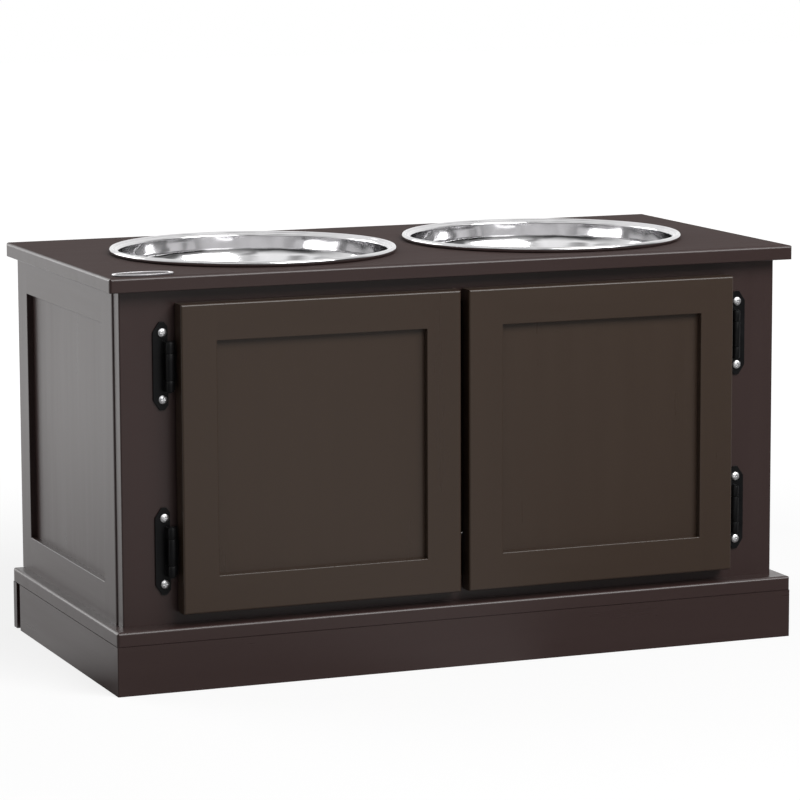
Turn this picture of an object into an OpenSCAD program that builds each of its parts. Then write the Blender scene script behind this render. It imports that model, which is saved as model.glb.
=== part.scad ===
// A raised feeder for a dog: a low cabinet with two framed doors over a storage space,
// and two steel bowls that hang in its top board and lift out.
// X runs to the right, Y to the back and Z up. The origin is on the floor under the middle.
// Pieces of the left half are drawn where they stand, and the right half mirrors them.

/* [Cabinet] */
// Width over the side frames
body_w = 580; // [560:1:700]
// Depth from the face frame's front to the back
body_d = 279; // [255:1:340]
// Height between the base board and the top board
body_h = 270; // [240:1:360]

/* [Boards] */
// How far the top board passes the side frames
top_side_over = 10; // [4:0.5:25]
// How far the top board passes the face frame
top_front_over = 13; // [4:0.5:17]
// Thickness of the top board
top_t = 12; // [11:0.5:20]
// How far the base board passes the side frames
base_side_over = 9; // [4:0.5:25]
// Depth of the ledge that the base board makes in front of the face frame
ledge_d = 17; // [14:0.5:30]
// Thickness of the base board
base_t = 12; // [10:0.5:18]
// Radius of the upper edges and the corners of both boards
board_edge_r = 2.5; // [0.5:0.25:4]
// Radius of the lower edges of both boards
board_under_r = 0.75; // [0.25:0.25:3]

/* [Plinth] */
// Height of the plinth
plinth_h = 40; // [25:1:80]
// Thickness of the front and side boards
plinth_t = 12; // [8:0.5:14]
// Thickness of the back board
plinth_back_t = 9; // [6:0.5:15]
// Gap between the side boards and the back board
plinth_gap = 10; // [2:0.5:16]
// Rounding of the front board's corners
plinth_arris = 1; // [0.25:0.25:3]
// Width of the square corner blocks inside the plinth
block_w = 20; // [14:1:28]
// Length of the blocks that bridge the gap at the back
rear_block_d = 30; // [22:1:45]
// Height of the blocks above the floor
block_lift = 2; // [1:0.5:8]

/* [Side frames] */
// Thickness of the side frames
side_t = 15; // [13:0.5:22]
// Width of the front stile
side_front_stile = 30; // [22:1:60]
// Width of the rear stile
side_rear_stile = 26; // [20:1:60]
// Width of the rails
side_rail = 30; // [24:1:60]
// Depth of the recess in front of the panel
side_recess = 5; // [4:0.5:10.5]
// Rounding of the outer front corner
side_arris = 2.5; // [0.5:0.25:5]

/* [Face frame] */
// Thickness of the face frame
face_t = 13; // [12:0.5:22]
// How far the face frame stays inside the side frames' outer faces
face_inset = 1.25; // [0:0.25:4]
// Width of the stiles
face_stile = 53.75; // [44:0.25:80]
// Width of the top rail
face_top_rail = 22; // [16:0.5:40]
// Width of the bottom rail
face_bottom_rail = 20; // [15:0.5:40]
// Rounding of the outer corners
face_arris = 1.25; // [0.25:0.25:3]

/* [Doors] */
// Thickness of a door
door_t = 15; // [13.5:0.5:22]
// How far a door covers the face frame's stile
door_overlay = 8; // [4:0.5:16]
// Gap between the two doors
door_mid_gap = 7; // [3:0.5:14]
// Gap between a door and the base board
door_bottom_gap = 10; // [3:0.5:12]
// Gap between a door and the top board
door_top_gap = 11; // [3:0.5:14]
// Width of a door's stiles and rails
door_bar = 30; // [24:1:60]
// Depth of the recess in front of the panel
door_recess = 6; // [4:0.5:10.5]
// Rounding of a door's outer corners
door_arris = 1.75; // [0.25:0.25:3]

/* [Panels] */
// Width of the rebate that holds a panel
panel_rebate = 6; // [4:0.5:8]
// Clearance around a panel in its rebate
panel_clear = 0.5; // [0.2:0.1:1]
// Rounding of the edges around a recess
recess_arris = 0.75; // [0.25:0.25:1.5]
// Thickness of the back panel
back_t = 4; // [3:0.5:9]
// Width of the rebate that holds the back panel
back_rebate = 7; // [5:0.5:9]

/* [Bowls] */
// Distance between the bowls' centres
bowl_pitch = 262; // [250:1:320]
// Gap between the face frame and a bowl's neck
bowl_front_gap = 1; // [0.5:0.5:14]
// Radius of a bowl over its rim
bowl_rim_r = 119.5; // [114:0.5:122]
// Radius of the rolled bead on the rim
bead_r = 2.3; // [1.5:0.1:3]
// Height of the bead's underside above the board
bead_lift = 0.3; // [0.2:0.05:0.5]
// Height of the rim's flat above the board
flange_h = 3.4; // [3:0.1:6]
// Width of the rim around the neck that passes through the board
bowl_rim_w = 7; // [7:0.5:20]
// Clearance of a bowl in its hole
bowl_clear = 1; // [0.5:0.25:3]
// Depth of a bowl below the board's face
bowl_depth = 60; // [45:1:90]
// Thickness of the steel
bowl_wall = 1; // [0.6:0.1:1.5]
// Outer radius of the bend from the rim into the wall
rim_bend_r = 2.5; // [1.5:0.25:2.5]
// Depth of the straight neck
neck_h = 8; // [4:1:16]
// Radius of the bend from the neck into the sloping wall
wall_bend_r = 20; // [10:1:30]
// Slope of the wall from upright
wall_slope = 24; // [10:1:35]
// Radius of the bend into the floor
floor_bend_r = 18; // [8:1:24]

/* [Badge] */
// Length of the oval plate
badge_l = 50; // [40:1:60]
// Width of the oval plate
badge_w = 23; // [20:1:26]
// Radius of the plate's ends
badge_end_r = 8; // [7:0.5:9]
// Thickness of the plate at its rim
badge_t = 1.5; // [1:0.25:4]
// Width of the raised rim
badge_rim = 2.5; // [1.5:0.25:3.5]
// Depth of the face inside the rim
badge_sink = 0.7; // [0.2:0.1:0.8]
// Distance of the badge's middle from the board's left edge
badge_side = 32; // [28:0.5:60]
// Distance of the badge's middle from the board's front edge
badge_front = 14.5; // [13:0.5:40]

/* [Hinges] */
// Distance of the pin from the door's edge
pin_out = 7; // [6:0.25:9]
// Distance of the pin in front of the face frame
pin_up = 8.5; // [8:0.1:9.5]
// Distance of a hinge's middle from the end of its door
hinge_end = 50; // [40:1:80]
// Outer radius of the knuckles
knuckle_r = 3.4; // [2.8:0.1:3.6]
// Radius of the pin
pin_r = 1.25; // [0.8:0.05:1.6]
// Clearance of the pin in the door's knuckle
pin_run_clear = 0.05; // [0.02:0.01:0.1]
// Clearance of the pin in the frame's knuckles
pin_hold_clear = 0.02; // [0.01:0.01:0.03]
// Radius of the pin's heads
pin_head_r = 2.2; // [1.8:0.1:2.6]
// Height of the pin's heads
pin_head_h = 0.6; // [0.3:0.1:1.5]
// Length of the barrel
barrel_l = 40; // [32:1:46]
// Length of each of the frame's knuckles
frame_knuckle_l = 9; // [6:0.5:12]
// Gap between two knuckles
knuckle_gap = 0.3; // [0.2:0.05:0.6]
// Thickness of the leaf on the frame
leaf_t = 1.6; // [1.2:0.1:2]
// Length of the leaf over its pointed ends
leaf_l = 70.6; // [68:0.2:80]
// Length of the leaf's straight outer edge
leaf_side_l = 54.4; // [48:0.2:64]
// Length of the leaf's edge beside the barrel
leaf_inner_l = 63; // [56:0.2:66]
// Reach of the leaf away from the door
leaf_out = 11.4; // [10:0.1:14]
// Reach of the leaf past the pin towards the door
leaf_in = 1; // [0:0.1:1.4]
// Outer end of the leaf's blunt tip, from the pin
tip_out = 6; // [5:0.1:8]
// Inner end of the leaf's blunt tip, from the pin
tip_in = 2; // [1:0.1:3]
// Thickness of the webs that join the knuckles to the leaves
web_t = 1.6; // [1.2:0.1:2]
// Distance of a web's outer face from the pin's axis
web_out = 3.2; // [2.8:0.1:3.3]
// Thickness of the leaf on the door
door_leaf_t = 1.5; // [1:0.1:2]
// Clearance between the door's leaf and the face frame
leaf_clear = 0.5; // [0.3:0.1:1]
// Height of the leaf on the door
door_leaf_l = 39.6; // [36:0.2:48]
// Reach of the door's leaf from the pin
door_leaf_reach = 26; // [25:0.5:32]

/* [Closing springs] */
// Thickness of the spring strip
spring_t = 0.5; // [0.3:0.1:0.8]
// Width of the strip
spring_w = 2; // [1:0.25:2]
// Length of the bowed strip
spring_l = 18; // [12:1:20]
// Gap between the bow and the door's knuckle
spring_clear = 0.3; // [0.2:0.1:0.6]

/* [Screws] */
// Distance of the frame leaf's screws from the pin
frame_screw_out = 3.7; // [3.6:0.1:6]
// Distance between the frame leaf's two screws
frame_screw_pitch = 53.6; // [50:0.2:56]
// Distance of the door leaf's screws from the pin
door_screw_in = 21; // [20:0.5:23]
// Distance between the door leaf's two screws
door_screw_pitch = 26; // [20:0.5:30]
// Length of a hinge screw under its head
hinge_screw_l = 12; // [8:0.5:13]
// Radius of a hinge screw's head
hinge_head_r = 3.5; // [3:0.1:4]
// Height of a hinge screw's head
hinge_head_h = 2.2; // [1.6:0.1:3]
// Rise of the head's dome
hinge_dome_h = 1.2; // [0.6:0.1:1.5]
// Radius of a hinge screw's shank
hinge_shank_r = 1.7; // [1.3:0.05:2]
// Clearance of a shank in its leaf
leaf_hole_clear = 0.2; // [0.1:0.05:0.4]
// Clearance of a shank in its pilot hole
pilot_clear = 0.02; // [0.01:0.01:0.04]
// Length of a base screw
base_screw_l = 28; // [22:1:29]
// Radius of a base screw's head
base_head_r = 4; // [3.4:0.1:4.4]
// Radius of a base screw's shank
base_shank_r = 2; // [1.5:0.1:2.2]
// Length of a back panel screw
back_screw_l = 16; // [12:1:18]
// Radius of a back panel screw's head
back_head_r = 2.8; // [2.4:0.1:3]
// Radius of a back panel screw's shank
back_shank_r = 1.4; // [1.1:0.1:1.6]
// Length of a screw's point
screw_tip_l = 2; // [1:0.25:3]
// Length of the cross in a screw's head
cross_l = 4; // [3:0.1:4.5]
// Width of the cross in a screw's head
cross_w = 0.9; // [0.6:0.1:1.2]
// Depth of the cross in a screw's head
cross_h = 1.1; // [0.6:0.1:1.3]

/* [Dowels] */
// Radius of a carcass dowel
dowel_r = 3.95; // [3:0.05:4.4]
// Length of a carcass dowel
dowel_l = 26; // [20:1:30]
// Depth of a carcass dowel in the thinner of its two pieces
dowel_in = 8; // [6:0.5:9]
// Radius of a door dowel
door_dowel_r = 2.95; // [2:0.05:3.4]
// Length of a door dowel
door_dowel_l = 30; // [20:1:36]
// Clearance around a dowel in its hole
dowel_clear = 0.05; // [0.02:0.01:0.1]
// Spare depth at each end of a dowel
dowel_spare = 0.5; // [0.2:0.1:1]
// Distance of the front pins and screws of a side from the cabinet's middle
side_pin_front = 45; // [30:1:60]
// Distance of the rear pins and screws of a side from the cabinet's middle
side_pin_rear = 85; // [70:1:95]
// Distance of the face frame's top dowels from the middle
face_pin_x = 60; // [40:1:70]
// Distance of the face frame's base screws from the middle
face_screw_x = 120; // [90:1:160]
// Distance between the dowels that join the face frame to a side
face_side_pitch = 97; // [80:1:100]

/* [Bumpers] */
// Radius of a door bumper
bumper_r = 4; // [3:0.25:5]
// Gap between a bumper and the face frame
bumper_clear = 0.3; // [0.2:0.05:0.5]
// Distance of a bumper from the door's free edge
bumper_in = 8.5; // [6:0.5:14]
// Distance of a bumper from the door's end
bumper_up = 5; // [5:0.25:5.5]

/* [Hidden] */
$fn = 64;

// Colours of the finishes
espresso = [0.20, 0.16, 0.14];
pale_wood = [0.72, 0.58, 0.42];
black_metal = [0.08, 0.08, 0.09];
bright_metal = [0.80, 0.81, 0.83];
clear_rubber = [0.75, 0.75, 0.72];

// Reach of a cut past the face that it opens
past = 1;

// Heights from the floor up
base_z = plinth_h;
cabinet_z = base_z + base_t;
top_z = cabinet_z + body_h;
board_z = top_z + top_t;

// Places from the front to the back
back_y = (body_d + ledge_d) / 2;
front_y = -back_y;
face_y = front_y + ledge_d;
side_y = face_y + face_t;
door_off = door_leaf_t + leaf_clear;
door_y = face_y - door_off - door_t;

// Top board
top_w = body_w + 2 * top_side_over;
top_front_y = face_y - top_front_over;
top_d = back_y - top_front_y;
bowl_neck_r = bowl_rim_r - bowl_rim_w;
bowl_y = side_y + bowl_front_gap + bowl_neck_r;
bowl_hole_r = bowl_neck_r + bowl_clear;

// Base board and plinth
base_w = body_w + 2 * base_side_over;
base_d = back_y - front_y;
plinth_back_y = back_y - plinth_back_t;
plinth_side_d = plinth_back_y - plinth_gap - front_y - plinth_t;

// Side frames, in axes that run back from the face frame, in from the outer face, and up
side_l = back_y - side_y;
side_x = body_w / 2;
side_panel_t = side_t - side_recess;
side_win_l = side_l - side_front_stile - side_rear_stile;
side_win_h = body_h - 2 * side_rail;
side_mid_x = side_x - side_t / 2;

// Face frame
face_x = side_x - face_inset;
opening_x = face_x - face_stile;
opening_z = cabinet_z + face_bottom_rail;
opening_h = body_h - face_bottom_rail - face_top_rail;
face_mid_y = face_y + face_t / 2;

// Doors, in axes that run from the hinge side, in from the front, and up
door_x = opening_x + door_overlay;
door_w = door_x - door_mid_gap / 2;
door_z = cabinet_z + door_bottom_gap;
door_h = body_h - door_bottom_gap - door_top_gap;
door_panel_t = door_t - door_recess;
door_win_w = door_w - 2 * door_bar;
door_win_h = door_h - 2 * door_bar;

// Hinges, about the pin: X towards the door, Y towards the face frame
pin_x = door_x + pin_out;
pin_y = face_y - pin_up;
hinge_z = [door_z + hinge_end, door_z + door_h - hinge_end];
leaf_y = pin_up - leaf_t;
door_leaf_y = pin_up - door_off;
door_knuckle_l = barrel_l - 2 * frame_knuckle_l - 2 * knuckle_gap;

// A rectangle about the origin with round corners
module round_rect(w, d, r) {
    square([w - 2 * r, d], center = true);
    square([w, d - 2 * r], center = true);
    for (x = [-1, 1], y = [-1, 1])
        translate([x * (w / 2 - r), y * (d / 2 - r)])
            circle(r);
}

// Section of a board of width w, whose lower edge lies on the axis
module board_section(w, t) {
    translate([-w / 2, board_under_r]) square([w, t - board_under_r - board_edge_r]);
    translate([board_edge_r - w / 2, t / 2]) square([w - 2 * board_edge_r, t / 2]);
    translate([board_under_r - w / 2, 0]) square([w - 2 * board_under_r, t / 2]);
    for (side = [-1, 1]) {
        translate([side * (w / 2 - board_edge_r), t - board_edge_r]) circle(board_edge_r);
        translate([side * (w / 2 - board_under_r), board_under_r]) circle(board_under_r);
    }
}

// A board about the origin, lying on Z = 0, with all its edges rounded
module round_board(w, d, t) {
    intersection() {
        linear_extrude(t) round_rect(w, d, board_edge_r);
        translate([-w / 2, 0, 0])
            rotate([90, 0, 90])
                linear_extrude(w) board_section(d, t);
        translate([0, d / 2, 0])
            rotate([90, 0, 0])
                linear_extrude(d) board_section(w, t);
    }
}

// What rounding takes off an edge along Z, where the wood lies towards +X and +Y
module arris(len, r, over = past) {
    translate([0, 0, -over])
        linear_extrude(len + 2 * over)
            difference() {
                translate([-past, -past]) square(r + past);
                translate([r, r]) circle(r);
            }
}

// What rounding takes off the four front edges of a slab that fills w by h
module outer_arrises(w, h, r) {
    arris(h, r);
    translate([w, 0, 0]) mirror([1, 0, 0]) arris(h, r);
    translate([w, 0, 0]) rotate([0, -90, 0]) arris(w, r);
    translate([w, 0, h]) mirror([0, 0, 1]) rotate([0, -90, 0]) arris(w, r);
}

// What rounding takes off a frame's bars around a window of w by h
module window_arrises(w, h) {
    mirror([1, 0, 0]) arris(h, recess_arris, 0);
    translate([w, 0, 0]) arris(h, recess_arris, 0);
    translate([w, 0, 0]) mirror([0, 0, 1]) rotate([0, -90, 0]) arris(w, recess_arris, 0);
    translate([w, 0, h]) rotate([0, -90, 0]) arris(w, recess_arris, 0);
}

// What a frame's bars lose around a panelled window: the rounding, and the rebate behind the recess
module window_cut(w, h, recess, panel_t) {
    window_arrises(w, h);
    translate([-panel_rebate, recess, -panel_rebate])
        cube([w + 2 * panel_rebate, panel_t + past, h + 2 * panel_rebate]);
}

// The flat panel that fills a window's rebate
module window_panel(w, h, recess, panel_t) {
    color(espresso)
        translate([panel_clear - panel_rebate, recess, panel_clear - panel_rebate])
            cube([w + 2 * (panel_rebate - panel_clear), panel_t, h + 2 * (panel_rebate - panel_clear)]);
}

// A dowel, or its hole, about its middle and along one axis
module dowel(at, turn, r, len) {
    translate(at)
        rotate(turn)
            cylinder(r = r, h = len, center = true);
}

along_x = [0, 90, 0];
along_y = [90, 0, 0];
along_z = [0, 0, 0];

// The cross in a screw's head, cut from z down
module cross_cut(z) {
    for (turn = [0, 90])
        rotate(turn)
            translate([-cross_l / 2, -cross_w / 2, z - cross_h])
                cube([cross_l, cross_w, cross_h + past]);
}

// A shank with its point, down from Z = 0
module shank(len, r) {
    translate([0, 0, screw_tip_l - len]) cylinder(r = r, h = len - screw_tip_l);
    translate([0, 0, -len]) cylinder(r1 = r / 4, r2 = r, h = screw_tip_l);
}

// A screw with a domed head on Z = 0
module pan_screw() {
    dome_r = (pow(hinge_head_r, 2) + pow(hinge_dome_h, 2)) / (2 * hinge_dome_h);
    color(bright_metal)
        difference() {
            union() {
                intersection() {
                    cylinder(r = hinge_head_r, h = hinge_head_h);
                    translate([0, 0, hinge_head_h - dome_r]) sphere(dome_r);
                }
                shank(hinge_screw_l, hinge_shank_r);
            }
            cross_cut(hinge_head_h);
        }
}

// A screw whose flat head ends at Z = 0
module flat_screw(len, head_r, r) {
    color(bright_metal)
        difference() {
            union() {
                translate([0, 0, r - head_r]) cylinder(r1 = r, r2 = head_r, h = head_r - r);
                translate([0, 0, r - head_r]) shank(len - head_r + r, r);
            }
            cross_cut(0);
        }
}

// The hole for a flat screw, sunk for its head
module flat_screw_hole(len, head_r, r) {
    wide = head_r + pilot_clear;
    narrow = r + pilot_clear;
    translate([0, 0, r - head_r]) cylinder(r1 = narrow, r2 = wide, h = head_r - r);
    cylinder(r = wide, h = past);
    translate([0, 0, -len - dowel_spare]) cylinder(r = narrow, h = len);
}

// Places of the dowels that join the carcass; r and spare make them pins or holes
module all_carcass_dowels(r, spare) {
    len = dowel_l + 2 * spare;
    shift = dowel_l / 2 - dowel_in;
    for (side = [-1, 1]) {
        // Top board on the side frames
        for (y = [-side_pin_front, side_pin_rear])
            dowel([side * side_mid_x, y, top_z - shift], along_z, r, len);
        // Top board on the face frame
        dowel([side * face_pin_x, face_mid_y, top_z - shift], along_z, r, len);
        // Face frame on the side frames
        for (step = [-1, 0, 1])
            dowel([side * side_mid_x, side_y + shift, cabinet_z + body_h / 2 + step * face_side_pitch],
                  along_y, r, len);
        // Corners of the side frames
        for (y = [side_y + side_front_stile, back_y - side_rear_stile],
             z = [cabinet_z + side_rail / 2, top_z - side_rail / 2])
            dowel([side * side_mid_x, y, z], along_y, r, len);
        // Corners of the face frame
        for (z = [cabinet_z + face_bottom_rail / 2, top_z - face_top_rail / 2])
            dowel([side * opening_x, face_mid_y, z], along_x, r, len);
    }
}

module carcass_dowel_holes() all_carcass_dowels(dowel_r + dowel_clear, dowel_spare);

// Places of the screws that hold the base board, heads down
module at_base_screws() {
    for (side = [-1, 1]) {
        for (y = [-side_pin_front, side_pin_rear])
            translate([side * side_mid_x, y, base_z]) rotate([180, 0, 0]) children();
        translate([side * face_screw_x, face_mid_y, base_z]) rotate([180, 0, 0]) children();
    }
}

module base_screw_holes() at_base_screws() flat_screw_hole(base_screw_l, base_head_r, base_shank_r);

// Places of the screws that hold the back panel, heads to the back
module at_back_screws() {
    for (side = [-1, 1], step = [-1, 0, 1])
        translate([side * (side_x - side_t + back_rebate / 2), back_y,
                   cabinet_z + body_h / 2 + step * face_side_pitch])
            rotate([-90, 0, 0])
                children();
}

module back_screw_holes() at_back_screws() flat_screw_hole(back_screw_l, back_head_r, back_shank_r);

// Cuts all the joinery's holes in a piece of the carcass
module joined() {
    difference() {
        color(espresso) children();
        carcass_dowel_holes();
        base_screw_holes();
        back_screw_holes();
    }
}

// Top board, with the holes for the bowls
module top_panel() {
    joined()
        difference() {
            translate([0, top_front_y + top_d / 2, top_z])
                round_board(top_w, top_d, top_t);
            for (side = [-1, 1])
                translate([side * bowl_pitch / 2, bowl_y, top_z - past])
                    cylinder(r = bowl_hole_r, h = top_t + 2 * past, $fn = 128);
        }
}

// Base board, which is the cabinet's floor and the ledge in front of the doors
module base_board() {
    joined()
        translate([0, front_y + base_d / 2, base_z])
            round_board(base_w, base_d, base_t);
}

module plinth_front() {
    color(espresso)
        difference() {
            translate([-base_w / 2, front_y, 0]) cube([base_w, plinth_t, plinth_h]);
            translate([-base_w / 2, front_y, 0]) arris(plinth_h, plinth_arris);
            translate([base_w / 2, front_y, 0]) mirror([1, 0, 0]) arris(plinth_h, plinth_arris);
        }
}

module plinth_left() {
    color(espresso)
        translate([-base_w / 2, front_y + plinth_t, 0])
            cube([plinth_t, plinth_side_d, plinth_h]);
}

module plinth_right() mirror([1, 0, 0]) plinth_left();

module plinth_back() {
    color(espresso)
        translate([-base_w / 2, plinth_back_y, 0])
            cube([base_w, plinth_back_t, plinth_h]);
}

// Blocks that hold the plinth's corners; the rear ones bridge the gap
module plinth_corner_blocks() {
    block_h = plinth_h - block_lift;
    color(pale_wood)
        for (side = [0, 1])
            mirror([side, 0, 0])
                translate([plinth_t - base_w / 2, 0, block_lift]) {
                    translate([0, front_y + plinth_t, 0]) cube([block_w, block_w, block_h]);
                    translate([0, plinth_back_y - rear_block_d, 0]) cube([block_w, rear_block_d, block_h]);
                }
}

// Stands a piece of the left side frame in its place
module at_left_side() {
    translate([-side_x, side_y, cabinet_z])
        mirror([1, -1, 0])
            children();
}

// One bar of the left side frame
module side_bar(along, up, size) {
    joined()
        at_left_side()
            difference() {
                translate([along, 0, up]) cube([size[0], side_t, size[1]]);
                translate([side_front_stile, 0, side_rail])
                    window_cut(side_win_l, side_win_h, side_recess, side_panel_t);
                arris(body_h, side_arris);
                translate([side_l - back_t, side_t - back_rebate, -past])
                    cube([back_t + past, back_rebate + past, body_h + 2 * past]);
            }
}

module left_side_front_stile() side_bar(0, 0, [side_front_stile, body_h]);

module left_side_rear_stile() side_bar(side_l - side_rear_stile, 0, [side_rear_stile, body_h]);

module left_side_bottom_rail() side_bar(side_front_stile, 0, [side_win_l, side_rail]);

module left_side_top_rail() side_bar(side_front_stile, body_h - side_rail, [side_win_l, side_rail]);

module left_side_panel() {
    at_left_side()
        translate([side_front_stile, 0, side_rail])
            window_panel(side_win_l, side_win_h, side_recess, side_panel_t);
}

module right_side_front_stile() mirror([1, 0, 0]) left_side_front_stile();

module right_side_rear_stile() mirror([1, 0, 0]) left_side_rear_stile();

module right_side_bottom_rail() mirror([1, 0, 0]) left_side_bottom_rail();

module right_side_top_rail() mirror([1, 0, 0]) left_side_top_rail();

module right_side_panel() mirror([1, 0, 0]) left_side_panel();

// One bar of the face frame, with the rounding around the doorway
module face_bar(x, z, size) {
    joined()
        difference() {
            translate([x, face_y, z]) cube([size[0], face_t, size[1]]);
            translate([-face_x, face_y, cabinet_z]) arris(body_h, face_arris);
            translate([face_x, face_y, cabinet_z]) mirror([1, 0, 0]) arris(body_h, face_arris);
            translate([-opening_x, face_y, opening_z]) window_arrises(2 * opening_x, opening_h);
        }
}

module face_frame_left_stile() {
    difference() {
        face_bar(-face_x, cabinet_z, [face_stile, body_h]);
        at_frame_screws() pilot_hole();
    }
}

module face_frame_right_stile() mirror([1, 0, 0]) face_frame_left_stile();

module face_frame_top_rail() face_bar(-opening_x, top_z - face_top_rail, [2 * opening_x, face_top_rail]);

module face_frame_bottom_rail() face_bar(-opening_x, cabinet_z, [2 * opening_x, face_bottom_rail]);

// Panel that closes the back, sunk in the rear stiles
module back_panel() {
    reach = side_x - side_t + back_rebate - panel_clear;
    color(espresso)
        difference() {
            translate([-reach, back_y - back_t, cabinet_z + panel_clear])
                cube([2 * reach, back_t, body_h - 2 * panel_clear]);
            back_screw_holes();
        }
}

module back_panel_screws() at_back_screws() flat_screw(back_screw_l, back_head_r, back_shank_r);

module base_screws() at_base_screws() flat_screw(base_screw_l, base_head_r, base_shank_r);

module carcass_dowels() color(pale_wood) all_carcass_dowels(dowel_r, 0);

// An oval of four arcs about the origin, drawn in by the same amount all round
module oval(inset) {
    end_x = badge_l / 2 - badge_end_r;
    half_w = badge_w / 2;
    side_r = (pow(end_x, 2) + pow(half_w, 2) - pow(badge_end_r, 2)) / (2 * (half_w - badge_end_r));
    join_x = side_r * end_x / (side_r - badge_end_r);
    join_inset = inset * end_x / (side_r - badge_end_r);
    for (end = [-1, 1])
        translate([end * end_x, 0]) circle(badge_end_r - inset);
    intersection() {
        translate([0, half_w - side_r]) circle(side_r - inset, $fn = 128);
        translate([0, side_r - half_w]) circle(side_r - inset, $fn = 128);
        square([2 * (join_x - join_inset), badge_w], center = true);
    }
}

// Blank oval plate with a raised rim
module badge() {
    color(bright_metal)
        translate([badge_side - top_w / 2, top_front_y + badge_front, board_z])
            difference() {
                linear_extrude(badge_t) oval(0);
                translate([0, 0, badge_t - badge_sink]) linear_extrude(past) oval(badge_rim);
            }
}

// Stands a piece at the left door's upper (1) or lower (0) pin
module at_pin(upper) {
    translate([-pin_x, pin_y, hinge_z[upper]])
        children();
}

// Outline of the frame's leaf, with its blunt pointed ends
module leaf_outline() {
    polygon([
        [-leaf_out, -leaf_side_l / 2], [-tip_out, -leaf_l / 2],
        [-tip_in, -leaf_l / 2], [leaf_in, -leaf_inner_l / 2],
        [leaf_in, leaf_inner_l / 2], [-tip_in, leaf_l / 2],
        [-tip_out, leaf_l / 2], [-leaf_out, leaf_side_l / 2]
    ]);
}

// Places of one frame leaf's two screws, heads to the front
module at_leaf_screws() {
    for (end = [-1, 1])
        translate([-frame_screw_out, leaf_y, end * frame_screw_pitch / 2])
            rotate([90, 0, 0])
                children();
}

// Places of one door leaf's two screws, heads to the back
module at_door_leaf_screws() {
    for (end = [-1, 1])
        translate([door_screw_in, door_leaf_y + door_leaf_t, end * door_screw_pitch / 2])
            rotate([-90, 0, 0])
                children();
}

module at_frame_screws() {
    for (upper = [0, 1])
        at_pin(upper) at_leaf_screws() children();
}

module at_door_screws() {
    for (upper = [0, 1])
        at_pin(upper) at_door_leaf_screws() children();
}

// Pilot hole of a hinge screw, down from under its head
module pilot_hole() {
    translate([0, 0, -hinge_screw_l - dowel_spare])
        cylinder(r = hinge_shank_r + pilot_clear, h = hinge_screw_l + dowel_spare);
}

// Hole of a hinge screw through its leaf
module leaf_hole(t) {
    translate([0, 0, -t - past])
        cylinder(r = hinge_shank_r + leaf_hole_clear, h = t + 2 * past);
}

// Leaf that screws to the face frame, with its two knuckles
module frame_leaf() {
    knuckle_mid = (barrel_l - frame_knuckle_l) / 2;
    color(black_metal)
        difference() {
            union() {
                translate([0, pin_up, 0]) rotate([90, 0, 0]) linear_extrude(leaf_t) leaf_outline();
                for (end = [-1, 1])
                    translate([0, 0, end * knuckle_mid]) {
                        cylinder(r = knuckle_r, h = frame_knuckle_l, center = true);
                        translate([-web_out, 0, -frame_knuckle_l / 2])
                            cube([web_t, leaf_y + leaf_t / 2, frame_knuckle_l]);
                    }
            }
            cylinder(r = pin_r + pin_hold_clear, h = barrel_l + 2 * past, center = true);
            at_leaf_screws() leaf_hole(leaf_t);
        }
}

// Leaf that screws to the back of the door, with the middle knuckle
module door_leaf() {
    web_in = web_out - web_t;
    color(black_metal)
        difference() {
            union() {
                cylinder(r = knuckle_r, h = door_knuckle_l, center = true);
                translate([web_in, 0, -door_knuckle_l / 2])
                    cube([web_t, door_leaf_y + door_leaf_t / 2, door_knuckle_l]);
                translate([web_in, door_leaf_y, -door_leaf_l / 2])
                    cube([door_leaf_reach - web_in, door_leaf_t, door_leaf_l]);
            }
            cylinder(r = pin_r + pin_run_clear, h = barrel_l, center = true);
            at_door_leaf_screws() leaf_hole(door_leaf_t);
        }
}

// Pin with a flat head at each end
module hinge_pin() {
    color(black_metal) {
        cylinder(r = pin_r, h = barrel_l + pin_head_h, center = true);
        for (end = [-1, 1])
            translate([0, 0, end * (barrel_l + pin_head_h) / 2])
                cylinder(r = pin_head_r, h = pin_head_h, center = true);
    }
}

// Flat strip that bows between the leaf and the door's knuckle
module closing_spring() {
    crown_y = knuckle_r + spring_clear;
    rise = leaf_y - crown_y - spring_t;
    bow_r = (pow(spring_l / 2, 2) + pow(rise, 2)) / (2 * rise);
    color(bright_metal)
        translate([-spring_w / 2, 0, 0])
            intersection() {
                translate([0, crown_y + spring_t + bow_r, 0])
                    rotate([0, 90, 0])
                        linear_extrude(spring_w)
                            difference() {
                                circle(bow_r + spring_t, $fn = 256);
                                circle(bow_r, $fn = 256);
                            }
                translate([-past, 0, -spring_l / 2])
                    cube([spring_w + 2 * past, leaf_y, spring_l]);
            }
}

module left_upper_frame_leaf() at_pin(1) frame_leaf();

module left_lower_frame_leaf() at_pin(0) frame_leaf();

module right_upper_frame_leaf() mirror([1, 0, 0]) left_upper_frame_leaf();

module right_lower_frame_leaf() mirror([1, 0, 0]) left_lower_frame_leaf();

module left_upper_hinge_pin() at_pin(1) hinge_pin();

module left_lower_hinge_pin() at_pin(0) hinge_pin();

module right_upper_hinge_pin() mirror([1, 0, 0]) left_upper_hinge_pin();

module right_lower_hinge_pin() mirror([1, 0, 0]) left_lower_hinge_pin();

module closing_springs() {
    for (side = [0, 1], upper = [0, 1])
        mirror([side, 0, 0]) at_pin(upper) closing_spring();
}

module hinge_frame_screws() {
    for (side = [0, 1])
        mirror([side, 0, 0]) at_frame_screws() pan_screw();
}

// Stands a piece of the left door in its place
module at_left_door() translate([-door_x, door_y, door_z]) children();

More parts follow.
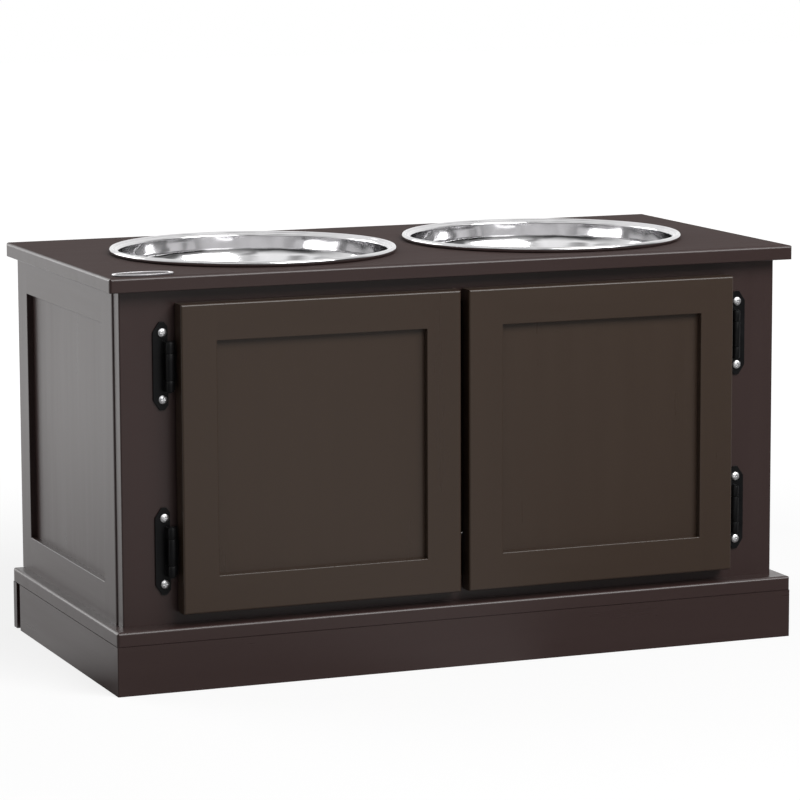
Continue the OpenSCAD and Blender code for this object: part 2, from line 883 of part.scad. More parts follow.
// The dowels in a door's corners; r and spare make them pins or holes
module all_door_dowels(r, spare) {
    for (x = [door_bar, door_w - door_bar], z = [door_bar / 2, door_h - door_bar / 2])
        dowel([x, door_t / 2, z], along_x, r, door_dowel_l + 2 * spare);
}

// One bar of a door
module door_piece(x, z, size) {
    color(espresso)
        difference() {
            translate([x, 0, z]) cube([size[0], door_t, size[1]]);
            outer_arrises(door_w, door_h, door_arris);
            translate([door_bar, 0, door_bar])
                window_cut(door_win_w, door_win_h, door_recess, door_panel_t);
            all_door_dowels(door_dowel_r + dowel_clear, dowel_spare);
        }
}

module left_door_hinge_stile() {
    difference() {
        at_left_door() door_piece(0, 0, [door_bar, door_h]);
        at_door_screws() pilot_hole();
    }
}

module left_door_free_stile() at_left_door() door_piece(door_w - door_bar, 0, [door_bar, door_h]);

module left_door_bottom_rail() at_left_door() door_piece(door_bar, 0, [door_win_w, door_bar]);

module left_door_top_rail() at_left_door() door_piece(door_bar, door_h - door_bar, [door_win_w, door_bar]);

module left_door_panel() {
    at_left_door()
        translate([door_bar, 0, door_bar])
            window_panel(door_win_w, door_win_h, door_recess, door_panel_t);
}

module left_door_dowels() color(pale_wood) at_left_door() all_door_dowels(door_dowel_r, 0);

module left_upper_door_leaf() at_pin(1) door_leaf();

module left_lower_door_leaf() at_pin(0) door_leaf();

module left_door_screws() at_door_screws() pan_screw();

// Soft studs that meet the face frame at the door's free edge
module left_door_bumpers() {
    color(clear_rubber)
        at_left_door()
            for (z = [bumper_up, door_h - bumper_up])
                translate([door_w - bumper_in, door_t, z])
                    rotate([-90, 0, 0])
                        cylinder(r = bumper_r, h = door_off - bumper_clear);
}

module right_door_hinge_stile() mirror([1, 0, 0]) left_door_hinge_stile();

module right_door_free_stile() mirror([1, 0, 0]) left_door_free_stile();

module right_door_bottom_rail() mirror([1, 0, 0]) left_door_bottom_rail();

module right_door_top_rail() mirror([1, 0, 0]) left_door_top_rail();

module right_door_panel() mirror([1, 0, 0]) left_door_panel();

module right_door_dowels() mirror([1, 0, 0]) left_door_dowels();

module right_upper_door_leaf() mirror([1, 0, 0]) left_upper_door_leaf();

module right_lower_door_leaf() mirror([1, 0, 0]) left_lower_door_leaf();

module right_door_screws() mirror([1, 0, 0]) left_door_screws();

module right_door_bumpers() mirror([1, 0, 0]) left_door_bumpers();

// Points of an arc about c, from angle a to angle b
function arc(c, r, a, b, steps = 8) =
    [for (i = [0:steps]) c + r * [cos(a + (b - a) * i / steps), sin(a + (b - a) * i / steps)]];

// One face of the bowl's wall, from the rim in to the axis, at a depth d into the steel
function bowl_path(d) =
    let (
        inner_r = bowl_neck_r - bowl_wall,
        rim_c = [inner_r + rim_bend_r, flange_h - rim_bend_r],
        neck_c = [inner_r - wall_bend_r, -neck_h],
        floor_z = bowl_wall - bowl_depth,
        slope_l = (floor_z + floor_bend_r * (1 - sin(wall_slope)) + neck_h + wall_bend_r * sin(wall_slope))
                  / -cos(wall_slope),
        floor_c = [neck_c[0] + wall_bend_r * cos(wall_slope) - slope_l * sin(wall_slope)
                   - floor_bend_r * cos(wall_slope), floor_z + floor_bend_r]
    )
    concat(
        [[bowl_rim_r - bead_r, flange_h - d]],
        arc(rim_c, rim_bend_r - d, 90, 180),
        arc(neck_c, wall_bend_r + d, 0, -wall_slope, 4),
        arc(floor_c, floor_bend_r + d, -wall_slope, -90),
        [[0, floor_z - d]]
    );

function reversed(list) = [for (i = [len(list) - 1:-1:0]) list[i]];

// Steel bowl about its axis, with Z = 0 at the board's face
module bowl() {
    color(bright_metal)
        rotate_extrude($fn = 128) {
            polygon(concat(bowl_path(0), reversed(bowl_path(bowl_wall))));
            translate([bowl_rim_r - bead_r, bead_lift + bead_r]) circle(bead_r);
        }
}

module left_bowl() translate([-bowl_pitch / 2, bowl_y, board_z]) bowl();

module right_bowl() mirror([1, 0, 0]) left_bowl();

top_panel();
base_board();
plinth_front();
plinth_left();
plinth_right();
plinth_back();
plinth_corner_blocks();
left_side_front_stile();
left_side_rear_stile();
left_side_top_rail();
left_side_bottom_rail();
left_side_panel();
right_side_front_stile();
right_side_rear_stile();
right_side_top_rail();
right_side_bottom_rail();
right_side_panel();
face_frame_left_stile();
face_frame_right_stile();
face_frame_top_rail();
face_frame_bottom_rail();
back_panel();
back_panel_screws();
base_screws();
carcass_dowels();
badge();
left_upper_frame_leaf();
left_lower_frame_leaf();
right_upper_frame_leaf();
right_lower_frame_leaf();
left_upper_hinge_pin();
left_lower_hinge_pin();
right_upper_hinge_pin();
right_lower_hinge_pin();
closing_springs();
hinge_frame_screws();
left_door_hinge_stile();
left_door_free_stile();
left_door_top_rail();
left_door_bottom_rail();
left_door_panel();
left_door_dowels();
left_upper_door_leaf();
left_lower_door_leaf();
left_door_screws();
left_door_bumpers();
right_door_hinge_stile();
right_door_free_stile();
right_door_top_rail();
right_door_bottom_rail();
right_door_panel();
right_door_dowels();
right_upper_door_leaf();
right_lower_door_leaf();
right_door_screws();
right_door_bumpers();
left_bowl();
right_bowl();
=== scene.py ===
"""The looks of a raised dog feeder: its finishes, bowls, badge and hinges, in a pale studio."""

import math

import bpy
from mathutils import Matrix, Vector


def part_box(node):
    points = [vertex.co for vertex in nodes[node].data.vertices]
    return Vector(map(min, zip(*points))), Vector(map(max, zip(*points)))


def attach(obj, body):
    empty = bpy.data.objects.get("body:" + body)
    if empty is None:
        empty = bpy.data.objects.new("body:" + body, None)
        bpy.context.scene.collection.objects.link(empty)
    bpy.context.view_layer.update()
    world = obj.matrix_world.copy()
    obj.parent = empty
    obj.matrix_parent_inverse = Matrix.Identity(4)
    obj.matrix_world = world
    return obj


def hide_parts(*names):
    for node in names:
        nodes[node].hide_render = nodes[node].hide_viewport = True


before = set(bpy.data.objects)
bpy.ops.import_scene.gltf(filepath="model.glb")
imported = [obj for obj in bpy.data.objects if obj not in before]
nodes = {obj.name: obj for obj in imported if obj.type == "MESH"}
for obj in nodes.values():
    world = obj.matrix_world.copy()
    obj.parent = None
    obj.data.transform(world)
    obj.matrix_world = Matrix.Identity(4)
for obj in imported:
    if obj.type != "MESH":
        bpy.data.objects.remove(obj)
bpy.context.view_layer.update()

MM = 0.001

# The camera, fitted to the cabinet's corners in the photograph
CAMERA_AT = (-1.1779, -2.9410, 0.6763)
CAMERA_TURN = math.radians(21.86)
CAMERA_DIP = math.radians(8.54)
CAMERA_ROLL = math.radians(-0.22)
LENS_MM = 169.47
SENSOR_MM = 36.0

# The background is white in view. This is what it sends to matt surfaces.
AMBIENT = 0.15

# What gloss sees in front of the cabinet, in the middle and at the left
GLOSS_FRONT = 0.30
GLOSS_LEFT = 0.04

# The pale panels that gloss sees above: from gap to panel, and how soft and large they are
GLOSS_PANELS = (0.35, 1.15)
PANEL_EDGES = (0.44, 0.56)
PANEL_SCALE = 2.6

# Where these fade into each other, as the share of a direction that points along an axis
FADE_BEHIND = (-0.3, 0.3)
FADE_ABOVE = (0.15, 0.5)
FADE_LEFT = (-0.5, 0.0)
FADE_RIGHT = (0.30, 0.47)

# The floor: its shade for the light that it sends on, and in view, where a glow lights it up.
# The fades are distances from the middle of the cabinet, in metres.
FLOOR_HALF = 8.0
FLOOR_PALE = 0.5
FLOOR_SEEN_PALE = 0.25
FLOOR_SEEN_GLOW = 0.81
FLOOR_GLOW_FADE = (0.6, 1.6)
# Painted shade: gloss sees the floor close behind the cabinet darker, as if in its shadow, fading
# out over these distances
FLOOR_PAINTED_SHADE_BEHIND = 0.55
FLOOR_PAINTED_SHADE_FADE = (0.4, 1.5)

# Colours, alone or as a darkest and a lightest tone
ESPRESSO_DOOR = (0.048, 0.0300, 0.0200)
ESPRESSO_CASE = (0.043, 0.0245, 0.0224)
BACK_BOARD_TONES = ((0.040, 0.026, 0.019), (0.062, 0.042, 0.031))
BARE_WOOD_TONES = ((0.46, 0.29, 0.15), (0.62, 0.44, 0.26))
ENAMEL_TONES = ((0.004, 0.004, 0.0045), (0.007, 0.007, 0.0075))
BOWL_TONES = ((0.62, 0.615, 0.625), (0.74, 0.735, 0.745))
RUBBER_TONES = ((0.16, 0.155, 0.145), (0.22, 0.215, 0.20))
SPRING_COLOUR = (0.50, 0.50, 0.52)
ZINC_COLOUR = (0.92, 0.92, 0.93)
BADGE_RIM_COLOUR = (0.86, 0.84, 0.86)
BADGE_FACE_COLOUR = (0.10, 0.09, 0.095)

# How far the stain strays to each side of its colour, and what a smear leaves of bright steel's
WOOD_VARIATION = 0.035
SMEAR_SHADE = 0.9

# Roughness, from the lowest to the highest
SATIN_ROUGH = (0.27, 0.33)
BACK_BOARD_ROUGH = (0.62, 0.78)
BARE_WOOD_ROUGH = (0.55, 0.7)
ENAMEL_ROUGH = (0.30, 0.42)
SPRING_ROUGH = (0.25, 0.35)
ZINC_ROUGH = (0.34, 0.46)
BOWL_ROUGH = (0.06, 0.13)
RUBBER_ROUGH = (0.30, 0.42)

# The top board's upper face: what is added to its roughness, its shine against that of the
# edges, and how far up such a face looks, as its normal's part along Z
TOP_DULLER = 0.48
TOP_SHINE = 0.18
EDGE_SHINE = 0.5
LOOKS_UP = (0.7, 0.98)

# Marks in a metre across the grain or the streaks, and the share of them along it
GRAIN_PER_M = 70.0
FIGURE_PER_M = 9.0
PEEL_PER_M = 900.0
STREAKS_PER_M = 900.0
GRAIN_ALONG = 0.06
STREAK_ALONG = 0.15

# The badge, from its top down: the rim ends at the first depth, and the face starts at the second
BADGE_RIM_DOWN = 0.2 * MM
BADGE_FACE_DOWN = 0.5 * MM
BADGE_FACE_ROUGH = 0.6
BADGE_RIM_ROUGH = 0.2

# The bowls, with the sizes of their solids
BOWL_BEAD_R = 2.3 * MM
BOWL_BEAD_LIFT = 0.3 * MM
BOWL_FLANGE_H = 3.4 * MM
BOWL_NECK_R = 112.5 * MM
BOWL_WALL = 1 * MM
BOWL_DEPTH = 60 * MM
BOWL_RIM_BEND_R = 2.5 * MM
BOWL_NECK_H = 8 * MM
BOWL_WALL_BEND_R = 20 * MM
BOWL_SLOPE = math.radians(24)
BOWL_FLOOR_BEND_R = 18 * MM

# How finely the bowls are turned: round the axis, along each bend, and across the floor
BOWL_SEGMENTS = 192
RIM_BEND_STEPS = 16
WALL_BEND_STEPS = 12
FLOOR_BEND_STEPS = 20
BEAD_STEPS = 28
FLOOR_RINGS = (0.8, 0.6, 0.4, 0.2, 0.0)
ON_AXIS = 0.001 * MM

# The width of the soft edges on the small metal, by the ending of a node's name
EDGE_SOFT = {"_leaf": 0.15 * MM, "screws": 0.12 * MM, "badge": 0.25 * MM}
EDGE_ANGLE = math.radians(40)
EDGE_SEGMENTS = 2
WELD_WITHIN = 0.002 * MM


def new_object(name, data):
    thing = bpy.data.objects.new(name, data)
    bpy.context.scene.collection.objects.link(thing)
    return thing


# ---- Nodes ----

# The reach of most noise
NOISE_REACH = (0.3, 0.7)

# A Mix node's colour sockets, which share their names with its number sockets
MIX_COLOUR_LOW, MIX_COLOUR_HIGH, MIX_COLOUR_RESULT = 6, 7, 2


def add(tree, kind, inputs=None, **settings):
    """Adds a node. An input, by name or number, gets a value or another node's output."""
    node = tree.nodes.new("ShaderNode" + kind)
    for name, value in settings.items():
        setattr(node, name, value)
    for name, value in (inputs or {}).items():
        if isinstance(value, bpy.types.NodeSocket):
            tree.links.new(value, node.inputs[name])
        else:
            node.inputs[name].default_value = value
    return node


def calculate(tree, operation, a, b):
    return add(tree, "Math", {0: a, 1: b}, operation=operation).outputs[0]


def share_along(tree, axis, vector):
    """A vector's part along X, Y or Z."""
    return add(tree, "SeparateXYZ", {"Vector": vector}).outputs[axis]


def spread(tree, value, ends=(0, 1), reach=NOISE_REACH):
    """Turns a value's reach into the range between two ends, and goes past neither."""
    limits = {"From Min": reach[0], "From Max": reach[1], "To Min": ends[0], "To Max": ends[1]}
    return add(tree, "MapRange", {"Value": value, **limits}).outputs["Result"]


def blend(tree, mask, low, high):
    """The number low where the mask is 0 and high where it is 1."""
    return add(tree, "Mix", {"Factor": mask, "A": low, "B": high}).outputs["Result"]


def blend_colours(tree, mask, low, high):
    """The colour low where the mask is 0 and high where it is 1."""
    inputs = {"Factor": mask, MIX_COLOUR_LOW: low, MIX_COLOUR_HIGH: high}
    return add(tree, "Mix", inputs, data_type="RGBA").outputs[MIX_COLOUR_RESULT]


def tones(tree, value, dark, light):
    """Turns a value from 0 to 1 into a colour from dark to light."""
    ramp = add(tree, "ValToRGB", {"Fac": value})
    ramp.color_ramp.elements[0].color = (*dark, 1)
    ramp.color_ramp.elements[1].color = (*light, 1)
    return ramp.outputs["Color"]


def object_noise(tree, per_m, detail, rough=0.55, stretch=(1, 1, 1)):
    """Noise that stays with the piece. A stretch below 1 draws it out along that axis."""
    place = add(tree, "TexCoord").outputs["Object"]
    place = add(tree, "Mapping", {"Vector": place, "Scale": stretch}).outputs["Vector"]
    noise = {"Vector": place, "Scale": per_m, "Detail": detail, "Roughness": rough}
    return add(tree, "TexNoise", noise).outputs["Fac"]


def turned_rings(tree, per_m, distortion):
    """Rings round a piece's own upright axis."""
    place = add(tree, "TexCoord").outputs["Object"]
    inputs = {"Vector": place, "Scale": per_m, "Distortion": distortion, "Detail": 2.0}
    return add(tree, "TexWave", inputs, wave_type="RINGS", rings_direction="Z").outputs["Fac"]


def bump(tree, height, strength, depth, under=None):
    """A bump as deep as given, on top of another one if there is one under it."""
    inputs = {"Height": height, "Strength": strength, "Distance": depth}
    if under is not None:
        inputs["Normal"] = under
    return add(tree, "Bump", inputs).outputs["Normal"]


def link(tree, output, shader, socket):
    tree.links.new(output, shader.inputs[socket])


# ---- Finishes ----

def new_finish(name, **values):
    """A material with one shader, whose sockets are set by name with _ for a space."""
    material = bpy.data.materials.new(name)
    material.use_nodes = True
    shader = material.node_tree.nodes["Principled BSDF"]
    for socket, value in values.items():
        shader.inputs[socket.replace("_", " ")].default_value = value
    return material, material.node_tree, shader


def stained_wood(name, axis, colour):
    """Satin lacquer over stained wood whose faint grain runs along an axis."""
    material, tree, shader = new_finish(name)
    stretch = [1.0, 1.0, 1.0]
    stretch["XYZ".index(axis)] = GRAIN_ALONG
    grain = object_noise(tree, GRAIN_PER_M, detail=6.0, rough=0.6, stretch=stretch)
    figure = object_noise(tree, FIGURE_PER_M, detail=3.0, rough=0.5, stretch=stretch)
    tone = spread(tree, calculate(tree, "ADD", grain, figure), reach=(0.7, 1.3))
    dark = [c * (1 - WOOD_VARIATION) for c in colour]
    light = [c * (1 + WOOD_VARIATION) for c in colour]
    link(tree, tones(tree, tone, dark, light), shader, "Base Color")
    link(tree, spread(tree, grain, SATIN_ROUGH), shader, "Roughness")
    pores = bump(tree, grain, strength=0.03, depth=0.1 * MM)
    peel = object_noise(tree, PEEL_PER_M, detail=2.0)
    link(tree, bump(tree, peel, strength=0.10, depth=0.05 * MM, under=pores), shader, "Normal")
    return material


def top_board_wood():
    """The case's lacquer, duller on the faces that look up."""
    material = stained_wood("top_wood", "X", ESPRESSO_CASE)
    tree = material.node_tree
    shader = tree.nodes["Principled BSDF"]
    normal = add(tree, "TexCoord").outputs["Normal"]
    upward = spread(tree, share_along(tree, "Z", normal), reach=LOOKS_UP)
    satin = shader.inputs["Roughness"].links[0].from_socket
    duller = spread(tree, upward, (0, TOP_DULLER), reach=(0, 1))
    link(tree, calculate(tree, "ADD", satin, duller), shader, "Roughness")
    shine = spread(tree, upward, (EDGE_SHINE, TOP_SHINE), reach=(0, 1))
    link(tree, shine, shader, "Specular IOR Level")
    return material


def wood_for(prefix, colour):
    """One wood finish for each way the grain runs."""
    return {axis: stained_wood(f"{prefix}_{axis.lower()}", axis, colour) for axis in "XYZ"}


def back_board():
    """Thin board of pressed fibres, stained, with a mottled face."""
    material, tree, shader = new_finish("back_board")
    fibres = object_noise(tree, per_m=420, detail=6, rough=0.7)
    clouds = object_noise(tree, per_m=14, detail=3)
    tone = spread(tree, calculate(tree, "ADD", fibres, clouds), reach=(0.75, 1.25))
    link(tree, tones(tree, tone, *BACK_BOARD_TONES), shader, "Base Color")
    link(tree, spread(tree, fibres, BACK_BOARD_ROUGH), shader, "Roughness")
    link(tree, bump(tree, fibres, strength=0.25, depth=0.1 * MM), shader, "Normal")
    return material


def bare_wood():
    """Pale softwood, sawn and sanded."""
    material, tree, shader = new_finish("bare_wood")
    grain = object_noise(tree, per_m=160, detail=6, rough=0.6, stretch=(1, 1, GRAIN_ALONG))
    link(tree, tones(tree, spread(tree, grain), *BARE_WOOD_TONES), shader, "Base Color")
    link(tree, spread(tree, grain, BARE_WOOD_ROUGH), shader, "Roughness")
    link(tree, bump(tree, grain, strength=0.3, depth=0.15 * MM), shader, "Normal")
    return material


def hinge_black():
    """Black baked enamel on pressed steel."""
    material, tree, shader = new_finish("hinge_black", Specular_IOR_Level=0.2)
    speckle = object_noise(tree, per_m=1500, detail=3)
    smears = object_noise(tree, per_m=60, detail=3)
    link(tree, tones(tree, spread(tree, smears), *ENAMEL_TONES), shader, "Base Color")
    link(tree, spread(tree, smears, ENAMEL_ROUGH), shader, "Roughness")
    link(tree, bump(tree, speckle, strength=0.2, depth=0.04 * MM), shader, "Normal")
    return material


def smeared(tree, colour):
    """A bright colour with slightly darker smears."""
    smears = object_noise(tree, per_m=50, detail=2)
    return tones(tree, spread(tree, smears), [c * SMEAR_SHADE for c in colour], colour)


def fine_streaks(tree):
    return object_noise(tree, STREAKS_PER_M, detail=3, rough=0.6, stretch=(1, 1, STREAK_ALONG))


def streak_bump(tree, streaks):
    return bump(tree, streaks, strength=0.08, depth=0.02 * MM)


def bright_steel(name, colour, rough):
    """Bare bright metal with smears and fine streaks."""
    material, tree, shader = new_finish(name, Metallic=1.0)
    streaks = fine_streaks(tree)
    link(tree, smeared(tree, colour), shader, "Base Color")
    link(tree, spread(tree, streaks, rough), shader, "Roughness")
    link(tree, streak_bump(tree, streaks), shader, "Normal")
    return material


def badge_metal():
    """A bright metal rim around a dark, dull face, which lies lower."""
    material, tree, shader = new_finish("badge_metal")
    top_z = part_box("badge")[1].z
    height = share_along(tree, "Z", add(tree, "NewGeometry").outputs["Position"])
    rim = spread(tree, height, reach=(top_z - BADGE_FACE_DOWN, top_z - BADGE_RIM_DOWN))
    colour = blend_colours(tree, rim, (*BADGE_FACE_COLOUR, 1), smeared(tree, BADGE_RIM_COLOUR))
    rough = spread(tree, rim, (BADGE_FACE_ROUGH, BADGE_RIM_ROUGH), reach=(0, 1))
    link(tree, colour, shader, "Base Color")
    link(tree, rim, shader, "Metallic")
    link(tree, rough, shader, "Roughness")
    link(tree, streak_bump(tree, fine_streaks(tree)), shader, "Normal")
    return material


def bowl_steel():
    """Spun and polished stainless steel: slow waves of the sheet, wide rings and turning marks."""
    material, tree, shader = new_finish("bowl_steel", Metallic=1.0)
    haze = object_noise(tree, per_m=30, detail=3, rough=0.6)
    link(tree, tones(tree, spread(tree, haze), *BOWL_TONES), shader, "Base Color")
    link(tree, spread(tree, haze, BOWL_ROUGH), shader, "Roughness")
    waves = object_noise(tree, per_m=22, detail=2, rough=0.5)
    wide_rings = turned_rings(tree, per_m=26.0, distortion=1.5)
    marks = turned_rings(tree, per_m=260.0, distortion=0.6)
    normal = bump(tree, waves, strength=0.5, depth=2.2 * MM)
    normal = bump(tree, wide_rings, strength=0.35, depth=0.35 * MM, under=normal)
    normal = bump(tree, marks, strength=0.06, depth=0.03 * MM, under=normal)
    link(tree, normal, shader, "Normal")
    return material


def bumper_rubber():
    """Soft clear rubber that lets the dark wood behind it through."""
    material, tree, shader = new_finish("bumper_rubber", Subsurface_Weight=0.3, Coat_Weight=0.2)
    clouds = object_noise(tree, per_m=300, detail=2)
    link(tree, tones(tree, spread(tree, clouds), *RUBBER_TONES), shader, "Base Color")
    link(tree, spread(tree, clouds, RUBBER_ROUGH), shader, "Roughness")
    return material


def grain_axis(name):
    """A board's grain runs along its longest side, and a framed panel's runs up."""
    if name.endswith(("side_panel", "door_panel")):
        return "Z"
    low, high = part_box(name)
    size = high - low
    return "XYZ"[max(range(3), key=lambda k: size[k])]


def finish_for(name, by_ending, door_wood, case_wood):
    """The finish that goes with the ending of a node's name, or else stained wood."""
    for ending, finish in by_ending.items():
        if name.endswith(ending):
            return finish
    wood = door_wood if "_door_" in name else case_wood
    return wood[grain_axis(name)]


def dress_all():
    """Finishes all nodes but the bowls', which turned meshes replace."""
    door_wood = wood_for("door_wood", ESPRESSO_DOOR)
    case_wood = wood_for("case_wood", ESPRESSO_CASE)
    by_ending = {
        "top_panel": top_board_wood(),
        "back_panel": back_board(),
        "dowels": bare_wood(),
        "badge": badge_metal(),
        "springs": bright_steel("spring_steel", SPRING_COLOUR, SPRING_ROUGH),
        "_leaf": hinge_black(),
        "screws": bright_steel("screw_zinc", ZINC_COLOUR, ZINC_ROUGH),
        "bumpers": bumper_rubber(),
    }
    by_ending["corner_blocks"] = by_ending["dowels"]
    by_ending["hinge_pin"] = by_ending["_leaf"]
    for name, node in nodes.items():
        if not name.endswith("bowl"):
            node.data.materials.clear()
            node.data.materials.append(finish_for(name, by_ending, door_wood, case_wood))


# ---- Bowls ----

def arc(centre, radius, start, end, steps):
    """Points (r, z) of an arc, angles in radians."""
    points = []
    for i in range(steps + 1):
        angle = start + (end - start) * i / steps
        r = centre[0] + radius * math.cos(angle)
        z = centre[1] + radius * math.sin(angle)
        points.append((r, z))
    return points


def bowl_path(depth):
    """One face of the wall, from the rim to the axis, at a depth into the steel."""
    inner_r = BOWL_NECK_R - BOWL_WALL
    rim_centre = (inner_r + BOWL_RIM_BEND_R, BOWL_FLANGE_H - BOWL_RIM_BEND_R)
    neck_centre = (inner_r - BOWL_WALL_BEND_R, -BOWL_NECK_H)
    floor_z = BOWL_WALL - BOWL_DEPTH
    sine, cosine = math.sin(BOWL_SLOPE), math.cos(BOWL_SLOPE)
    drop = floor_z + BOWL_FLOOR_BEND_R * (1 - sine) + BOWL_NECK_H + BOWL_WALL_BEND_R * sine
    slope_l = -drop / cosine
    floor_r = neck_centre[0] + (BOWL_WALL_BEND_R - BOWL_FLOOR_BEND_R) * cosine - slope_l * sine
    floor_centre = (floor_r, floor_z + BOWL_FLOOR_BEND_R)
    down = -math.pi / 2
    return (
        arc(rim_centre, BOWL_RIM_BEND_R - depth, math.pi / 2, math.pi, RIM_BEND_STEPS)
        + arc(neck_centre, BOWL_WALL_BEND_R + depth, 0, -BOWL_SLOPE, WALL_BEND_STEPS)
        + arc(floor_centre, BOWL_FLOOR_BEND_R + depth, -BOWL_SLOPE, down, FLOOR_BEND_STEPS)
        + [(share * floor_r, floor_z - depth) for share in FLOOR_RINGS]
    )


def bowl_outline(rim_r):
    """The whole section: inside from the axis out, round the bead, and back along the outside."""
    centre = (rim_r - BOWL_BEAD_R, BOWL_BEAD_LIFT + BOWL_BEAD_R)
    top = math.pi - math.asin((BOWL_FLANGE_H - centre[1]) / BOWL_BEAD_R)
    under = math.pi - math.asin((BOWL_FLANGE_H - BOWL_WALL - centre[1]) / BOWL_BEAD_R)
    bead = arc(centre, BOWL_BEAD_R, top, under - 2 * math.pi, BEAD_STEPS)
    return list(reversed(bowl_path(0))) + bead + bowl_path(BOWL_WALL)


def lathe(name, outline, segments):
    """A closed surface turned about Z from an outline that starts and ends on the axis."""
    verts, faces, loops = [], [], []
    for r, z in outline:
        count = segments if r > ON_AXIS else 1
        loops.append(range(len(verts), len(verts) + count))
        for i in range(count):
            angle = 2 * math.pi * i / segments
            verts.append((r * math.cos(angle), r * math.sin(angle), z))
    for low, high in zip(loops, loops[1:]):
        for i in range(segments):
            j = (i + 1) % segments
            corners = [loop[k % len(loop)] for loop, k in ((low, i), (high, i), (high, j), (low, j))]
            faces.append(list(dict.fromkeys(corners)))
    mesh = bpy.data.meshes.new(name)
    mesh.from_pydata(verts, [], faces)
    mesh.update()
    mesh.shade_smooth()
    return new_object(name, mesh)


def make_bowls():
    """Turned bowls in place of the bowls' nodes. Their heights count from the top board's face."""
    steel = bowl_steel()
    board_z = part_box("top_panel")[1].z
    for side in ("left", "right"):
        low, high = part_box(f"{side}_bowl")
        outline = bowl_outline((high.x - low.x) / 2)
        piece = lathe(f"{side}_steel_bowl", outline, BOWL_SEGMENTS)
        piece.location = ((low.x + high.x) / 2, (low.y + high.y) / 2, board_z)
        piece.data.materials.append(steel)
        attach(piece, f"{side}_bowl")
        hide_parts(f"{side}_bowl")


# ---- Soft edges on the small metal ----

def soften(piece, width):
    weld = piece.modifiers.new("weld", "WELD")
    weld.merge_threshold = WELD_WITHIN
    edge = piece.modifiers.new("edge", "BEVEL")
    edge.width = width
    edge.segments = EDGE_SEGMENTS
    edge.limit_method = "ANGLE"
    edge.angle_limit = EDGE_ANGLE
    edge.harden_normals = True


def soften_metal():
    for name, piece in nodes.items():
        for ending, width in EDGE_SOFT.items():
            if name.endswith(ending):
                soften(piece, width)


# ---- Studio ----

def seen_rays(tree):
    """Two masks: the rays that see the background, from the camera, off gloss and through glass,
    and those off gloss alone."""
    path = add(tree, "LightPath").outputs
    seen = path["Is Camera Ray"]
    for kind in ("Is Glossy Ray", "Is Transmission Ray"):
        seen = calculate(tree, "MAXIMUM", seen, path[kind])
    return seen, path["Is Glossy Ray"]


def gloss_level(tree, way):
    """What gloss sees in a direction: white behind the cabinet, pale panels and gaps above,
    and in front a dim level that is darker at the left and fades to nothing at the right."""
    panels = add(tree, "TexNoise", {"Vector": way, "Scale": PANEL_SCALE, "Detail": 1.0})
    panels = spread(tree, panels.outputs["Fac"], GLOSS_PANELS, PANEL_EDGES)
    x, y, z = add(tree, "SeparateXYZ", {"Vector": way}).outputs
    left = spread(tree, x, (GLOSS_LEFT, GLOSS_FRONT), FADE_LEFT)
    right = spread(tree, x, (1, 0), FADE_RIGHT)
    low = calculate(tree, "MULTIPLY", left, right)
    front = blend(tree, spread(tree, z, reach=FADE_ABOVE), low, panels)
    return blend(tree, spread(tree, y, reach=FADE_BEHIND), front, 1.0)


def make_world():
    world = bpy.data.worlds.new("studio")
    world.use_nodes = True
    bpy.context.scene.world = world
    tree = world.node_tree
    background = tree.nodes["Background"]
    background.inputs["Color"].default_value = (1, 1, 1, 1)
    seen, glossy = seen_rays(tree)
    way = add(tree, "TexCoord").outputs["Generated"]
    level = blend(tree, seen, AMBIENT, 1.0)
    level = blend(tree, glossy, level, gloss_level(tree, way))
    tree.links.new(level, background.inputs["Strength"])


def matt(tree, shade):
    return add(tree, "BsdfDiffuse", {"Color": (shade, shade, shade, 1)}).outputs[0]


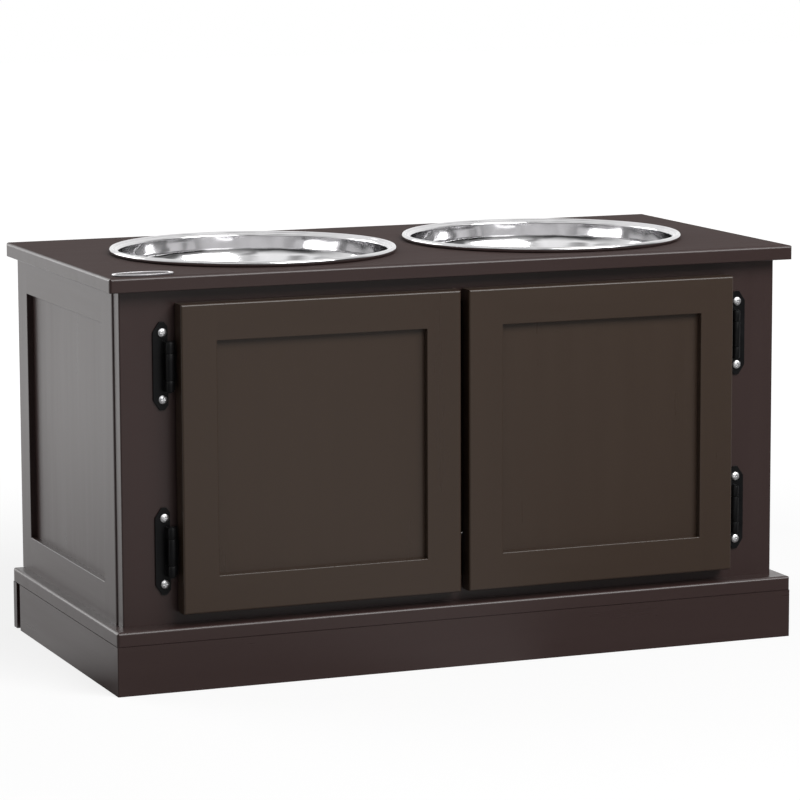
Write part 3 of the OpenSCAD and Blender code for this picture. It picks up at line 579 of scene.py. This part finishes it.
def floor_finish():
    """A matt floor that glows to the rays that see it: white far from the cabinet, and near it
    pale enough to show the cabinet's shadow. Gloss sees in it what it sees of the background in
    that direction, but dimmer close behind the cabinet: a painted shade of the cabinet on the floor."""
    material = bpy.data.materials.new("floor")
    material.use_nodes = True
    tree = material.node_tree
    tree.nodes.clear()
    seen, glossy = seen_rays(tree)
    place = add(tree, "NewGeometry").outputs["Position"]
    away = add(tree, "VectorMath", {0: place}, operation="LENGTH").outputs["Value"]
    way = add(tree, "VectorMath", {0: place}, operation="NORMALIZE").outputs["Vector"]
    to_eye = spread(tree, away, (FLOOR_SEEN_GLOW, 1.0), FLOOR_GLOW_FADE)
    # Painted shade: what gloss sees of the floor is darker close behind the cabinet
    behind = share_along(tree, "Y", way)
    near = spread(tree, behind, (1.0, FLOOR_PAINTED_SHADE_BEHIND), FADE_BEHIND)
    painted_shade = blend(tree, spread(tree, away, reach=FLOOR_PAINTED_SHADE_FADE), near, 1.0)
    to_gloss = calculate(tree, "MULTIPLY", gloss_level(tree, way), painted_shade)
    glow = add(tree, "Emission", {"Strength": blend(tree, glossy, to_eye, to_gloss)})
    in_view = add(tree, "AddShader", {0: matt(tree, FLOOR_SEEN_PALE), 1: glow.outputs[0]})
    both = {0: seen, 1: matt(tree, FLOOR_PALE), 2: in_view.outputs[0]}
    add(tree, "OutputMaterial", {"Surface": add(tree, "MixShader", both).outputs[0]})
    return material


def make_floor():
    h = FLOOR_HALF
    mesh = bpy.data.meshes.new("floor")
    mesh.from_pydata([(-h, -h, 0), (h, -h, 0), (h, h, 0), (-h, h, 0)], [], [(0, 1, 2, 3)])
    mesh.materials.append(floor_finish())
    new_object("floor", mesh)


def softbox(name, at, target, size, watts):
    """A lamp of some width and height that points at a target and isn't seen by the camera."""
    light = bpy.data.lights.new(name, "AREA")
    light.shape = "RECTANGLE"
    light.size, light.size_y = size
    light.energy = watts
    lamp = new_object(name, light)
    lamp.location = at
    lamp.rotation_euler = (Vector(target) - Vector(at)).to_track_quat("-Z", "Y").to_euler()
    lamp.visible_camera = False


def make_lights():
    softbox("key", at=(1.0, -2.3, 2.2), target=(0, 0, 0.2), size=(2.5, 1.6), watts=83)
    softbox("left_back", at=(-1.5, 1.6, 0.8), target=(-0.2, 0, 0.2), size=(1.6, 1.1), watts=16.5)


def make_camera():
    camera = bpy.data.cameras.new("camera")
    camera.lens = LENS_MM
    camera.sensor_width = SENSOR_MM
    camera.sensor_fit = "HORIZONTAL"
    eye = new_object("camera", camera)
    turn = Matrix.Rotation(-CAMERA_TURN, 4, "Z")
    dip = Matrix.Rotation(math.pi / 2 - CAMERA_DIP, 4, "X")
    roll = Matrix.Rotation(CAMERA_ROLL, 4, "Z")
    eye.matrix_world = Matrix.Translation(CAMERA_AT) @ turn @ dip @ roll
    bpy.context.scene.camera = eye


make_camera()
dress_all()
make_bowls()
soften_metal()
make_world()
make_floor()
make_lights()
bpy.context.scene.view_settings.view_transform = "Standard"
